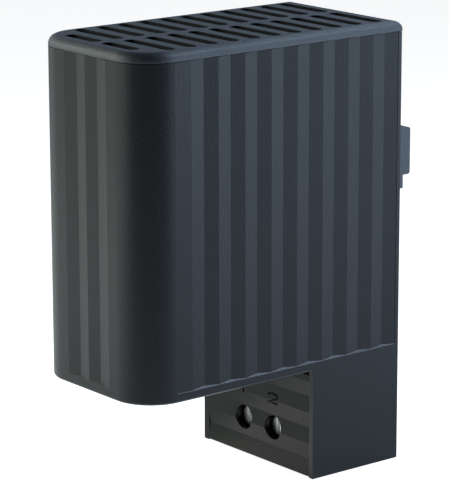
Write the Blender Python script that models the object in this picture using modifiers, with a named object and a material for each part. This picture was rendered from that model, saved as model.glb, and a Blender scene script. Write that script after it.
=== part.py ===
"""Touch-safe enclosure heater that clips on a 35 mm mounting rail.

Axes: +Z is up, the front faces -Y and the rail is behind at +Y.
Origin: middle of the rail, on the face of the clip that rests on the rail.
Air rises through the bottom grille, past a finned heat sink and out of the top grille.
The feature that takes the most skill is the housing: a sleeve with V-grooved sides,
an inner ledge, a floor, bosses and a terminal chamber, all one moulding.
"""

import math

import bmesh
import bpy
from mathutils import Matrix, Vector

MM = 0.001

# Clearance between pieces that touch on the real product
GAP = 0.3 * MM
# How far a cutter reaches past the face it cuts
PAST = 1.0 * MM

# Overall size
WIDTH = 38.0 * MM
HEIGHT = 98.3 * MM
HOUSING_DEPTH = 70.5 * MM
CORNER_RADIUS = 9.0 * MM
REAR_ROUND = 0.25 * MM

# Mounting rail and the clip's seat on it
RAIL_HEIGHT = 35.0 * MM
RAIL_THICKNESS = 1.0 * MM
RAIL_TOP_ABOVE_BASE = 63.5 * MM
SEAT_PROUD = 2.5 * MM
CLIP_PROUD = 4.5 * MM

# Housing walls
WALL = 1.8 * MM
LEDGE_WIDTH = 1.2 * MM
LEDGE_HEIGHT = 1.5 * MM
BOTTOM_ROUND = 0.45 * MM
EDGE_STEP = 0.02 * MM
FLOOR_BELOW_BODY = 2.0 * MM

# Terminal box under the rear of the housing
TERMINAL_DEPTH = 24.7 * MM
TERMINAL_HEIGHT = 24.5 * MM
TERMINAL_WALL = 2.5 * MM
TERMINAL_STRIP = 1.3 * MM
TERMINAL_ROUND = 0.2 * MM

# V-grooves that rib the sides, the front and the terminal cover
GROOVE_PITCH = 7.05 * MM
GROOVE_DEPTH = 0.5 * MM
PANEL_RECESS = 0.08 * MM
RIDGE_RECESS = 0.04 * MM
SIDE_FLAT = 4.0 * MM
REAR_FLAT = 0.5 * MM
GROOVE_START = 2.0 * MM
RUN_OUT = 0.7 * MM

# Top grille and bottom grille
CAP_HEIGHT = 2.1 * MM
CAP_ROUND = 1.85 * MM
CAP_REAR_ROUND = 1.2 * MM
SKIRT_HEIGHT = 3.0 * MM
SKIRT_WALL = 1.4 * MM
SLOT_PITCH = 5.57 * MM
SLOT_WIDTH = 2.8 * MM
SLOT_FROM_CENTRE = 0.88 * MM
SLOT_EDGE_RIM = 2.35 * MM
FIRST_SLOT = 4.5 * MM
SHORT_SLOT_LOSS = 4.6 * MM
BOTTOM_GRILLE_THICKNESS = 2.0 * MM

# Heat sink and its carriers
SINK_FRONT_SPACE = 8.0 * MM
SINK_REAR_SPACE = 9.0 * MM
SINK_SPINE = 12.0 * MM
SINK_SIDE_SPACE = 1.7 * MM
SINK_FINS = 12
CHANNEL_WALL = 3.0 * MM
FIN_ROOT = 1.7 * MM
FIN_TIP = 1.1 * MM
CARRIER_THICKNESS = 3.0 * MM
CARRIER_RIM = 1.5 * MM
CARRIER_BAR = 13.0 * MM
FOOT_SIZE = 4.0 * MM
LUG_HEIGHT = 3.0 * MM
LUG_THICKNESS = 2.0 * MM

# Heating element stack in the channel of the heat sink
TILE_THICKNESS = 2.0 * MM
TILE_WIDTH = 24.0 * MM
TILE_HEIGHT = 20.0 * MM
TILE_COUNT = 2
FILM_SETBACK = 4.0 * MM
PLATE_SETBACK = 2.0 * MM
PLATE_THICKNESS = 0.5 * MM
FILM_THICKNESS = 0.3 * MM
TAB_WIDTH = 4.0 * MM
TAB_ABOVE_LEDGE = 3.0 * MM

# Two-pole terminal block
POLE_SPACING = 10.16 * MM
POLE_HEIGHT = 8.4 * MM
BLOCK_WIDTH = 21.8 * MM
BLOCK_HEIGHT = 13.0 * MM
BLOCK_DEPTH = 16.0 * MM
BLOCK_RIB_HEIGHT = 14.0 * MM
BLOCK_RIB_THICKNESS = 2.0 * MM
CLAMP_WIDTH = 6.0 * MM
CLAMP_HEIGHT = 7.0 * MM
CLAMP_DEPTH = 9.0 * MM
WIRE_BORE = 2.6 * MM
SCREW_HEAD = 4.8 * MM
SCREW_HEAD_HEIGHT = 1.8 * MM
SCREW_SHANK = 2.7 * MM
SCREW_SLOT = 0.8 * MM
SCREW_EDGE = 0.25 * MM
DRIVER_HOLE = 5.5 * MM
COVER_THICKNESS = 1.7 * MM
COVER_FIRST_RIDGE = 0.7 * MM
COVER_TOP_GAP = 1.3 * MM
COVER_SHADOW = 0.2 * MM
DIGIT_STROKE = 0.55 * MM
DIGIT_RECESS = 0.5 * MM
DIGIT_LOW = 13.9 * MM
DIGIT_WIDTH = 3.9 * MM
DIGIT_HEIGHT = 2.7 * MM
BASE_THICKNESS = 1.9 * MM
BASE_REBATE = 0.7 * MM
CABLE_ENTRY = 6.6 * MM

# Lead wires and their end sleeves
WIRE_DIAMETER = 1.4 * MM
FERRULE_DIAMETER = 2.0 * MM
FERRULE_LENGTH = 9.0 * MM
FERRULE_PROUD = 1.5 * MM

# Rail clip
CLIP_WIDTH = 22.0 * MM
HOOK_INSET = 2.0 * MM
HOOK_HEIGHT = 10.5 * MM
HOOK_OVERLAP = 1.3 * MM
HOOK_ROUND = 0.6 * MM
LIP_WIDTH = 16.0 * MM
UPPER_SEAT = 2.65 * MM
CLIP_FOOT_ABOVE_BASE = 12.0 * MM
WINDOW_WIDTH = 15.0 * MM
WINDOW_TOP_ABOVE_BASE = 42.0 * MM
LATCH_WIDTH = 9.0 * MM
LATCH_HEIGHT = 5.0 * MM
LATCH_NOSE = 1.5 * MM
LATCH_TAB = 3.0 * MM
SPRING_WIDTH = 1.2 * MM
SPRING_BULGE = 2.6 * MM
TAB_SLOT_WIDTH = 5.0 * MM
TAB_SLOT_HEIGHT = 2.0 * MM
CLIP_SCREW_ABOVE_BASE = (55.0 * MM, 70.0 * MM)
CLIP_SCREW_HEAD = 5.6 * MM
CLIP_SCREW_HEAD_HEIGHT = 1.1 * MM
CLIP_SCREW_SHANK = 2.6 * MM
CLIP_SCREW_LENGTH = 6.5 * MM
CLIP_SCREW_SEAT = 0.7 * MM
BOSS_DIAMETER = 7.0 * MM
BOSS_LENGTH = 5.5 * MM

# Planes and heights worked out from the sizes above
REAR_Y = -SEAT_PROUD
FRONT_Y = REAR_Y - HOUSING_DEPTH
BASE_Z = RAIL_HEIGHT / 2 - RAIL_TOP_ABOVE_BASE
TOP_Z = BASE_Z + HEIGHT
SEAM_Z = TOP_Z - CAP_HEIGHT
BODY_Z = BASE_Z + TERMINAL_HEIGHT
LEDGE_Z = BODY_Z + LEDGE_HEIGHT
CHAMBER_TOP_Z = BODY_Z - FLOOR_BELOW_BODY
TERMINAL_Y = REAR_Y - TERMINAL_DEPTH
HALF_WIDTH = WIDTH / 2
HOOK_WIDTH = WIDTH - 2 * HOOK_INSET
SINK_FIN_SPAN = WIDTH - 2 * (WALL + SINK_SIDE_SPACE)
POLE_X = POLE_SPACING / 2
POLE_Z = BASE_Z + POLE_HEIGHT
GROOVE_END_Z = BODY_Z + GROOVE_START

GRILLE_Z = LEDGE_Z + GAP
LOWER_CARRIER_Z = GRILLE_Z + BOTTOM_GRILLE_THICKNESS + GAP
SINK_LOW_Z = LOWER_CARRIER_Z + CARRIER_THICKNESS + GAP
UPPER_CARRIER_TOP_Z = SEAM_Z - SKIRT_HEIGHT - GAP
SINK_HIGH_Z = UPPER_CARRIER_TOP_Z - CARRIER_THICKNESS - GAP
SINK_FRONT_Y = FRONT_Y + SINK_FRONT_SPACE
SINK_REAR_Y = REAR_Y - SINK_REAR_SPACE

CHANNEL_WIDTH = TILE_THICKNESS + 2 * (PLATE_THICKNESS + FILM_THICKNESS) + 6 * GAP
CHANNEL_REAR_Y = SINK_REAR_Y - CHANNEL_WALL
CHANNEL_FRONT_Y = CHANNEL_REAR_Y - TILE_WIDTH - 4 * GAP
PLATE_X = TILE_THICKNESS / 2 + GAP + PLATE_THICKNESS / 2
FILM_X = TILE_THICKNESS / 2 + 2 * GAP + PLATE_THICKNESS + FILM_THICKNESS / 2

COVER_BACK_Y = TERMINAL_Y + COVER_THICKNESS
BLOCK_FRONT_Y = COVER_BACK_Y + GAP
BLOCK_REAR_Y = BLOCK_FRONT_Y + BLOCK_DEPTH
BLOCK_LOW_Z = BASE_Z + BASE_THICKNESS + GAP
CLAMP_FRONT_Y = BLOCK_FRONT_Y + SCREW_HEAD_HEIGHT + GAP
CLAMP_LOW_Z = POLE_Z - CLAMP_HEIGHT / 2
WIRE_Y = CHANNEL_REAR_Y - 2 * GAP - TAB_WIDTH / 2

# How many grooves, ridges and slots fit
SIDE_GROOVES = int((HOUSING_DEPTH - CORNER_RADIUS - SIDE_FLAT - REAR_FLAT) / GROOVE_PITCH)
FRONT_GROOVES = int((WIDTH - 2 * CORNER_RADIUS) / GROOVE_PITCH)
COVER_GROOVES = int((TERMINAL_HEIGHT - COVER_FIRST_RIDGE) / GROOVE_PITCH)
SLOT_ROWS = int((HOUSING_DEPTH - FIRST_SLOT - SLOT_WIDTH / 2 - WALL) / SLOT_PITCH) + 1
INLET_DEPTH = HOUSING_DEPTH - TERMINAL_DEPTH - LEDGE_WIDTH
INLET_ROWS = int((INLET_DEPTH - FIRST_SLOT - SLOT_WIDTH / 2) / SLOT_PITCH) + 1

CURVE_STEPS = 12
HOLE_SIDES = 24
LEAD_STEPS = 14
SPRING_STEPS = 10
FLAT_ANGLE = math.radians(0.1)


def start_clean():
    for obj in list(bpy.data.objects):
        bpy.data.objects.remove(obj, do_unlink=True)


def make_collection(name):
    collection = bpy.data.collections.new(name)
    bpy.context.scene.collection.children.link(collection)
    return collection


def make_material(name, colour, roughness, metallic=0.0):
    material = bpy.data.materials.new(name)
    material.use_nodes = True
    shader = material.node_tree.nodes["Principled BSDF"]
    shader.inputs["Base Color"].default_value = (*colour, 1.0)
    shader.inputs["Roughness"].default_value = roughness
    shader.inputs["Metallic"].default_value = metallic
    material.diffuse_color = (*colour, 1.0)
    return material


def link_mesh(name, mesh, collection):
    obj = bpy.data.objects.new(name, mesh)
    collection.objects.link(obj)
    return obj


def mesh_from_bmesh(name, bm):
    bmesh.ops.recalc_face_normals(bm, faces=bm.faces)
    mesh = bpy.data.meshes.new(name)
    bm.to_mesh(mesh)
    bm.free()
    return mesh


# Local axes of an extruded outline, for each direction of extrusion
TURN = {
    "X": Matrix(((0, 0, 1), (1, 0, 0), (0, 1, 0))).to_4x4(),
    "Y": Matrix(((1, 0, 0), (0, 0, -1), (0, 1, 0))).to_4x4(),
    "Z": Matrix.Identity(4),
}
AXIS = {"X": Vector((1, 0, 0)), "Y": Vector((0, 1, 0)), "Z": Vector((0, 0, 1))}


def curve_solid(name, curve, collection):
    """Closed mesh of a curve, which is used up."""
    guide = bpy.data.objects.new(name + "_guide", curve)
    collection.objects.link(guide)
    bpy.context.view_layer.update()
    evaluated = guide.evaluated_get(bpy.context.evaluated_depsgraph_get())
    mesh = bpy.data.meshes.new_from_object(evaluated)
    bpy.data.objects.remove(guide, do_unlink=True)
    bpy.data.curves.remove(curve)
    bm = bmesh.new()
    bm.from_mesh(mesh)
    bpy.data.meshes.remove(mesh)
    bmesh.ops.remove_doubles(bm, verts=bm.verts, dist=0.01 * MM)
    return bm


def add_spline(curve, points):
    spline = curve.splines.new("POLY")
    spline.points.add(len(points) - 1)
    for point, place in zip(spline.points, points):
        point.co = (*place, 1)
    return spline


def prism(name, outlines, low, high, axis, collection):
    """Extrude closed outlines, the first the rim and the others holes, from low to high."""
    curve = bpy.data.curves.new(name, "CURVE")
    curve.dimensions = "2D"
    curve.fill_mode = "BOTH"
    curve.extrude = (high - low) / 2
    for outline in outlines:
        spline = add_spline(curve, [(u, v, 0) for u, v in outline])
        spline.use_cyclic_u = True
    bm = curve_solid(name, curve, collection)
    if len(outlines) == 1:
        bmesh.ops.dissolve_limit(bm, angle_limit=FLAT_ANGLE, verts=bm.verts, edges=bm.edges)
    bmesh.ops.transform(bm, verts=bm.verts, matrix=TURN[axis])
    bmesh.ops.translate(bm, verts=bm.verts, vec=AXIS[axis] * (low + high) / 2)
    return link_mesh(name, mesh_from_bmesh(name, bm), collection)


def wire(name, path, diameter, collection):
    """Round rod along a path of points."""
    curve = bpy.data.curves.new(name, "CURVE")
    curve.dimensions = "3D"
    curve.bevel_depth = diameter / 2
    curve.bevel_resolution = 2
    curve.use_fill_caps = True
    add_spline(curve, path)
    return link_mesh(name, mesh_from_bmesh(name, curve_solid(name, curve, collection)), collection)


def box(name, low, high, collection):
    low = Vector(low)
    high = Vector(high)
    bm = bmesh.new()
    size = Matrix.Diagonal((*(high - low), 1.0))
    bmesh.ops.create_cube(bm, size=1.0, matrix=Matrix.Translation((low + high) / 2) @ size)
    return link_mesh(name, mesh_from_bmesh(name, bm), collection)


def rod(name, start, length, diameter, axis, collection, sides=HOLE_SIDES):
    """Cylinder from start, along the positive axis."""
    turn = AXIS["Z"].rotation_difference(AXIS[axis]).to_matrix().to_4x4()
    middle = Vector(start) + AXIS[axis] * length / 2
    bm = bmesh.new()
    bmesh.ops.create_cone(bm, cap_ends=True, segments=sides, radius1=diameter / 2,
                          radius2=diameter / 2, depth=length, matrix=Matrix.Translation(middle) @ turn)
    return link_mesh(name, mesh_from_bmesh(name, bm), collection)


def gather(name, pieces, collection):
    """Put separate, disjoint solids into one object."""
    bm = bmesh.new()
    for piece in pieces:
        bm.from_mesh(piece.data)
        mesh = piece.data
        bpy.data.objects.remove(piece, do_unlink=True)
        bpy.data.meshes.remove(mesh)
    return link_mesh(name, mesh_from_bmesh(name, bm), collection)


def boolean(target, tool, operation):
    tool.hide_render = True
    tool.display_type = "WIRE"
    modifier = target.modifiers.new(tool.name, "BOOLEAN")
    modifier.operation = operation
    modifier.object = tool
    modifier.solver = "EXACT"


def cut(target, tool):
    boolean(target, tool, "DIFFERENCE")


def join(target, tool):
    boolean(target, tool, "UNION")


def round_edges(obj, radius_of, segments):
    """Round each edge by the radius that radius_of() gives for its two ends."""
    mesh = obj.data
    radii = [radius_of(*(mesh.vertices[i].co for i in edge.vertices)) for edge in mesh.edges]
    weights = mesh.attributes.new("bevel_weight_edge", "FLOAT", "EDGE")
    bevel = obj.modifiers.new("round_edges", "BEVEL")
    bevel.limit_method = "WEIGHT"
    bevel.width = max(radii)
    bevel.segments = segments
    bevel.use_clamp_overlap = False
    for edge, radius in zip(mesh.edges, radii):
        weights.data[edge.index].value = radius / bevel.width
    obj.modifiers.new("flat_faces", "TRIANGULATE")


def finish(obj, material, smooth_angle=None):
    obj.data.materials.clear()
    obj.data.materials.append(material)
    if smooth_angle:
        obj.data.shade_smooth()
        obj.data.set_sharp_from_angle(angle=math.radians(smooth_angle))
    return obj


def arc(centre, radius, start, end, steps):
    """Points of an arc, both ends included, angles in degrees."""
    points = []
    for i in range(steps + 1):
        angle = math.radians(start + (end - start) * i / steps)
        points.append((centre[0] + radius * math.cos(angle), centre[1] + radius * math.sin(angle)))
    return points


def plan_outline(inset, rear_y=REAR_Y):
    """Plan of the housing, set in from its outer face: round at the front, square behind."""
    half = HALF_WIDTH - inset
    front = FRONT_Y + inset
    radius = CORNER_RADIUS - inset
    right = arc((half - radius, front + radius), radius, -90, 0, CURVE_STEPS)
    left = arc((radius - half, front + radius), radius, 180, 270, CURVE_STEPS)
    return left + right + [(half, rear_y - inset), (-half, rear_y - inset)]


def ease_rear(outline):
    """The same plan with its two rear corners slightly rounded."""
    half = outline[-2][0]
    rear = outline[-2][1]
    right = arc((half - REAR_ROUND, rear - REAR_ROUND), REAR_ROUND, 0, 90, 3)
    left = arc((REAR_ROUND - half, rear - REAR_ROUND), REAR_ROUND, 90, 180, 3)
    return outline[:-2] + right + left


def rectangle(u0, u1, v0, v1):
    return [(u0, v0), (u1, v0), (u1, v1), (u0, v1)]


def stadium(u0, u1, v, width):
    """Slot outline with round ends, between u0 and u1 at height v."""
    radius = width / 2
    right = arc((u1 - radius, v), radius, -90, 90, 6)
    left = arc((u0 + radius, v), radius, 90, 270, 6)
    return right + left


def ridge_line(start, count, level, depth_sign):
    """Zigzag points of count V-grooves: ridges on level, valleys a groove depth inside."""
    points = []
    for i in range(count):
        ridge = start + i * GROOVE_PITCH
        points.append((ridge, level))
        points.append((ridge + GROOVE_PITCH / 2, level + depth_sign * GROOVE_DEPTH))
    points.append((start + count * GROOVE_PITCH, level))
    return points


def round_level(obj, height, radius, segments, rear_radius=None):
    """Round the edges that lie at one height, the rear one perhaps less."""
    def radius_of(a, b):
        if abs(a.z - height) + abs(b.z - height) > GAP / 2:
            return 0.0
        at_rear = a.y > REAR_Y - GAP and b.y > REAR_Y - GAP
        return rear_radius if rear_radius and at_rear else radius

    round_edges(obj, radius_of, segments)


def housing_grooves(cutters):
    """Cutters for the recessed, V-grooved panels on both sides and the front."""
    panel_start = FRONT_Y + CORNER_RADIUS
    for sign, side in ((1, "right"), (-1, "left")):
        level = HALF_WIDTH - PANEL_RECESS
        zigzag = ridge_line(panel_start + SIDE_FLAT, SIDE_GROOVES, level, -1)
        outline = [(sign * x, y) for y, x in [(panel_start, level)] + zigzag]
        outline += [(sign * (HALF_WIDTH + PAST), zigzag[-1][0]),
                    (sign * (HALF_WIDTH + PAST), panel_start)]
        yield prism("cut_grooves_" + side, [outline], GROOVE_END_Z, SEAM_Z + PAST, "Z", cutters)
    half_span = FRONT_GROOVES * GROOVE_PITCH / 2
    zigzag = ridge_line(-half_span, FRONT_GROOVES, FRONT_Y + RIDGE_RECESS, 1)
    reach = half_span + PAST * GROOVE_PITCH / (2 * GROOVE_DEPTH)
    outline = [(-reach, FRONT_Y - PAST)] + zigzag[1:-1] + [(reach, FRONT_Y - PAST)]
    yield prism("cut_grooves_front", [outline], GROOVE_END_Z, SEAM_Z + PAST, "Z", cutters)


def groove_run_outs(cutters):
    """Ramps that end the V-grooves in a slope above the plain rim."""
    skin = HALF_WIDTH - EDGE_STEP
    low = GROOVE_END_Z - RUN_OUT
    high = GROOVE_END_Z + RUN_OUT
    ramps = []
    for sign in (-1, 1):
        outline = [(sign * x, z) for x, z in ((skin, low), (skin, GROOVE_END_Z),
                                              (skin - RUN_OUT, high), (skin - RUN_OUT, low))]
        ramps.append(prism(f"run_out_{sign}", [outline], FRONT_Y + CORNER_RADIUS - REAR_ROUND,
                           REAR_Y - 2 * REAR_ROUND, "Y", cutters))
    front = FRONT_Y + EDGE_STEP
    outline = [(front, low), (front, GROOVE_END_Z), (front + RUN_OUT, high), (front + RUN_OUT, low)]
    reach = FRONT_GROOVES * GROOVE_PITCH / 2 + PAST
    ramps.append(prism("run_out_front", [outline], -reach, reach, "X", cutters))
    return gather("add_run_outs", ramps, cutters)


def make_housing(parts, cutters, material):
    """Sleeve with grooved faces, floor, ledge, bosses and the terminal chamber's walls."""
    sleeve = ease_rear(plan_outline(0))
    housing = prism("housing", [sleeve], BODY_Z + 2 * BOTTOM_ROUND, SEAM_Z - GAP / 2, "Z", parts)
    shell = ease_rear(rectangle(-HALF_WIDTH, HALF_WIDTH, TERMINAL_Y, REAR_Y))
    chamber = prism("add_terminal_box", [shell], BASE_Z, LEDGE_Z + PAST, "Z", cutters)
    round_level(chamber, BASE_Z, TERMINAL_ROUND, 2)
    join(housing, chamber)
    edge = plan_outline(EDGE_STEP, TERMINAL_Y + PAST)
    lower_edge = prism("add_lower_edge", [edge], BODY_Z, LEDGE_Z + PAST / 2, "Z", cutters)
    round_level(lower_edge, BODY_Z, BOTTOM_ROUND, 3)
    join(housing, lower_edge)

    cut(housing, prism("cut_cavity", [plan_outline(WALL)], LEDGE_Z, SEAM_Z + PAST, "Z", cutters))
    opening = plan_outline(WALL + LEDGE_WIDTH, TERMINAL_Y + WALL)
    cut(housing, prism("cut_inlet", [opening], BODY_Z - PAST, LEDGE_Z + PAST, "Z", cutters))

    half = HALF_WIDTH - TERMINAL_WALL
    cut(housing, box("cut_chamber", (-half, TERMINAL_Y - PAST, BASE_Z - PAST),
                     (half, REAR_Y - TERMINAL_WALL, CHAMBER_TOP_Z), cutters))
    strip = HALF_WIDTH - TERMINAL_STRIP
    cut(housing, box("cut_cover_rebate", (-strip, TERMINAL_Y - PAST, BASE_Z - PAST),
                     (strip, COVER_BACK_Y + GAP, BODY_Z + COVER_SHADOW), cutters))
    rebate = half + BASE_REBATE
    cut(housing, box("cut_base_rebate", (-rebate, TERMINAL_Y - PAST, BASE_Z - PAST),
                     (rebate, REAR_Y - TERMINAL_WALL + BASE_REBATE, BASE_Z + BASE_THICKNESS + GAP),
                     cutters))

    bosses = []
    for i, height in enumerate(CLIP_SCREW_ABOVE_BASE):
        bosses.append(rod(f"boss_{i}", (0, REAR_Y - WALL - BOSS_LENGTH, BASE_Z + height),
                          BOSS_LENGTH + WALL / 2, BOSS_DIAMETER, "Y", cutters))
    join(housing, gather("add_bosses", bosses, cutters))
    bores = []
    for i, height in enumerate(CLIP_SCREW_ABOVE_BASE):
        bores.append(rod(f"bore_{i}", (0, REAR_Y - CLIP_SCREW_LENGTH, BASE_Z + height),
                         CLIP_SCREW_LENGTH + PAST, CLIP_SCREW_SHANK + 2 * GAP, "Y", cutters))
    cut(housing, gather("cut_screw_bores", bores, cutters))

    ribs = []
    half = BLOCK_RIB_THICKNESS / 2
    for x in (-POLE_X, POLE_X):
        ribs.append(box("rib", (x - half, BLOCK_REAR_Y + GAP, CHAMBER_TOP_Z - BLOCK_RIB_HEIGHT),
                        (x + half, REAR_Y - TERMINAL_WALL / 2, CHAMBER_TOP_Z + PAST), cutters))
    join(housing, gather("add_block_ribs", ribs, cutters))

    holes = []
    for sign in (-1, 1):
        margin = WIRE_DIAMETER / 2 + GAP
        ends = sorted((sign * (PLATE_X - margin), sign * (POLE_X + margin)))
        outline = stadium(ends[0], ends[1], WIRE_Y, 2 * (margin + GAP))
        holes.append(prism(f"wire_hole_{sign}", [outline], CHAMBER_TOP_Z - PAST, LEDGE_Z + PAST,
                           "Z", cutters))
    cut(housing, gather("cut_wire_holes", holes, cutters))

    for grooves in housing_grooves(cutters):
        cut(housing, grooves)
    join(housing, groove_run_outs(cutters))
    return finish(housing, material, 30)


def slot_row_y(row):
    return FRONT_Y + FIRST_SLOT + row * SLOT_PITCH


def grille_slots(name, rows, low, high, reach, cutters):
    """Two columns of round-ended slots along X; the first row clears the round corners."""
    slots = []
    for row in rows:
        end = reach - SHORT_SLOT_LOSS if row == 0 else reach
        for sign in (-1, 1):
            ends = sorted((sign * SLOT_FROM_CENTRE, sign * end))
            outline = stadium(ends[0], ends[1], slot_row_y(row), SLOT_WIDTH)
            slots.append(prism(f"slot_{row}_{sign}", [outline], low, high, "Z", cutters))
    return gather(name, slots, cutters)


def make_top_grille(parts, cutters, material):
    cap = prism("top_grille", [plan_outline(0)], SEAM_Z + GAP / 2, TOP_Z, "Z", parts)
    round_level(cap, TOP_Z, CAP_ROUND, 5, CAP_REAR_ROUND)
    slots = grille_slots("cut_top_slots", range(SLOT_ROWS), SEAM_Z - PAST, TOP_Z + PAST,
                         HALF_WIDTH - SLOT_EDGE_RIM, cutters)
    cut(cap, slots)
    inset = WALL + GAP
    skirt = prism("add_skirt", [plan_outline(inset), plan_outline(inset + SKIRT_WALL)],
                  SEAM_Z - SKIRT_HEIGHT, SEAM_Z + CAP_HEIGHT / 3, "Z", cutters)
    join(cap, skirt)
    return finish(cap, material, 40)


def make_bottom_grille(parts, cutters, material):
    """Air inlet that drops onto the ledge at the bottom of the housing."""
    plan = plan_outline(WALL + GAP, TERMINAL_Y + WALL + LEDGE_WIDTH)
    grille = prism("bottom_grille", [plan], GRILLE_Z, GRILLE_Z + BOTTOM_GRILLE_THICKNESS, "Z", parts)
    reach = HALF_WIDTH - WALL - LEDGE_WIDTH - WALL / 2
    slots = grille_slots("cut_bottom_slots", range(INLET_ROWS), GRILLE_Z - PAST,
                         GRILLE_Z + BOTTOM_GRILLE_THICKNESS + PAST, reach, cutters)
    cut(grille, slots)
    return finish(grille, material)


def sink_outline():
    """Plan of the extrusion: a spine with tapered fins on both sides."""
    length = SINK_REAR_Y - SINK_FRONT_Y
    pitch = (length - FIN_ROOT) / (SINK_FINS - 1)
    right = []
    for i in range(SINK_FINS):
        middle = SINK_FRONT_Y + FIN_ROOT / 2 + i * pitch
        right += [(SINK_SPINE / 2, middle - FIN_ROOT / 2), (SINK_FIN_SPAN / 2, middle - FIN_TIP / 2),
                  (SINK_FIN_SPAN / 2, middle + FIN_TIP / 2), (SINK_SPINE / 2, middle + FIN_ROOT / 2)]
    left = [(-x, y) for x, y in reversed(right)]
    return right + left


def make_heat_sink(parts, material):
    channel = rectangle(-CHANNEL_WIDTH / 2, CHANNEL_WIDTH / 2, CHANNEL_FRONT_Y, CHANNEL_REAR_Y)
    sink = prism("heat_sink", [sink_outline(), channel], SINK_LOW_Z, SINK_HIGH_Z, "Z", parts)
    return finish(sink, material)


def make_carrier(name, low, lug_side, parts, cutters):
    """Open frame that holds one end of the heat sink between the housing walls."""
    high = low + CARRIER_THICKNESS
    rim = plan_outline(WALL + GAP)
    window_end = HALF_WIDTH - WALL - GAP - CARRIER_RIM
    carrier = prism(name, [rim], low, high, "Z", parts)
    windows = []
    for sign in (-1, 1):
        ends = sorted((sign * CARRIER_BAR / 2, sign * window_end))
        windows.append(box("window", (ends[0], SINK_FRONT_Y, low - PAST),
                           (ends[1], SINK_REAR_Y, high + PAST), cutters))
    gate = CHANNEL_WIDTH / 2 + GAP
    windows.append(box("gate", (-gate, CHANNEL_REAR_Y - 2 * TAB_WIDTH, low - PAST),
                       (gate, CHANNEL_REAR_Y + GAP, high + PAST), cutters))
    cut(carrier, gather("cut_windows_" + name, windows, cutters))
    overlap = CARRIER_THICKNESS / 2
    lug_low = high - overlap if lug_side > 0 else low - LUG_HEIGHT
    lug_high = lug_low + LUG_HEIGHT + overlap
    lugs = []
    for y in (SINK_FRONT_Y - GAP - LUG_THICKNESS, SINK_REAR_Y + GAP):
        lugs.append(box(f"{name}_lug", (-CARRIER_BAR / 2, y, lug_low),
                        (CARRIER_BAR / 2, y + LUG_THICKNESS, lug_high), cutters))
    join(carrier, gather("add_lugs_" + name, lugs, cutters))
    return carrier


def make_lower_carrier(parts, cutters, material):
    carrier = make_carrier("lower_carrier", LOWER_CARRIER_Z, 1, parts, cutters)
    foot_half = HALF_WIDTH - WALL - 2 * GAP
    foot_rear = REAR_Y - WALL - 2 * GAP
    feet = []
    for sign in (-1, 1):
        ends = sorted((sign * foot_half, sign * (foot_half - FOOT_SIZE)))
        feet.append(box(f"foot_{sign}", (ends[0], foot_rear - FOOT_SIZE, GRILLE_Z),
                        (ends[1], foot_rear, LOWER_CARRIER_Z + CARRIER_THICKNESS / 2), cutters))
    join(carrier, gather("add_feet", feet, cutters))
    return finish(carrier, material)


def make_upper_carrier(parts, cutters, material):
    low = UPPER_CARRIER_TOP_Z - CARRIER_THICKNESS
    carrier = make_carrier("upper_carrier", low, -1, parts, cutters)
    return finish(carrier, material)


def make_element(parts, tile_material, plate_material, film_material):
    """Heating tiles between two contact plates, with a film on each outer side."""
    tile_rear = CHANNEL_REAR_Y - 2 * GAP
    tile_front = tile_rear - TILE_WIDTH
    middle_z = (SINK_LOW_Z + SINK_HIGH_Z) / 2
    stack_height = TILE_COUNT * TILE_HEIGHT + (TILE_COUNT - 1) * GAP
    for i in range(TILE_COUNT):
        low = middle_z - stack_height / 2 + i * (TILE_HEIGHT + GAP)
        tile = box(f"ptc_tile_{i + 1}", (-TILE_THICKNESS / 2, tile_front, low),
                   (TILE_THICKNESS / 2, tile_rear, low + TILE_HEIGHT), parts)
        finish(tile, tile_material)
    film_low = SINK_LOW_Z + FILM_SETBACK
    film_high = SINK_HIGH_Z - FILM_SETBACK
    low = film_low + PLATE_SETBACK
    high = film_high - PLATE_SETBACK
    tab_low = LEDGE_Z + TAB_ABOVE_LEDGE
    tab_front = tile_rear - TAB_WIDTH
    plate_plan = [(tile_front, low), (tab_front, low), (tab_front, tab_low),
                  (tile_rear, tab_low), (tile_rear, high), (tile_front, high)]
    film_plan = rectangle(CHANNEL_FRONT_Y + GAP, CHANNEL_REAR_Y - GAP, film_low, film_high)
    for number, sign in ((1, -1), (2, 1)):
        low_x = sign * PLATE_X - PLATE_THICKNESS / 2
        plate = prism(f"contact_plate_{number}", [plate_plan], low_x, low_x + PLATE_THICKNESS, "X", parts)
        finish(plate, plate_material)
        low_x = sign * FILM_X - FILM_THICKNESS / 2
        film = prism(f"insulating_film_{number}", [film_plan], low_x, low_x + FILM_THICKNESS, "X", parts)
        finish(film, film_material)
    return tab_low


def terminal_digits(cutters):
    """Cutters for the 1 and 2 that are sunk above the holes of the two terminals."""
    low = BASE_Z + DIGIT_LOW + DIGIT_STROKE / 2
    tall = DIGIT_HEIGHT - DIGIT_STROKE
    half = (DIGIT_WIDTH - DIGIT_STROKE) / 2
    bow = tall / 3
    one = [(-half / 2, low + tall - bow), (0, low + tall), (0, low)]
    bend = arc((0, low + tall - bow), bow, 160, -30, 6)
    two = [(x * half / bow, z) for x, z in bend] + [(-half, low), (half, low)]
    for name, path, centre in (("one", one, -POLE_X), ("two", two, POLE_X)):
        outline = [(x + centre, z) for x, z in strip(path, DIGIT_STROKE)]
        yield prism("digit_" + name, [outline], TERMINAL_Y - PAST, TERMINAL_Y + DIGIT_RECESS, "Y", cutters)


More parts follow.
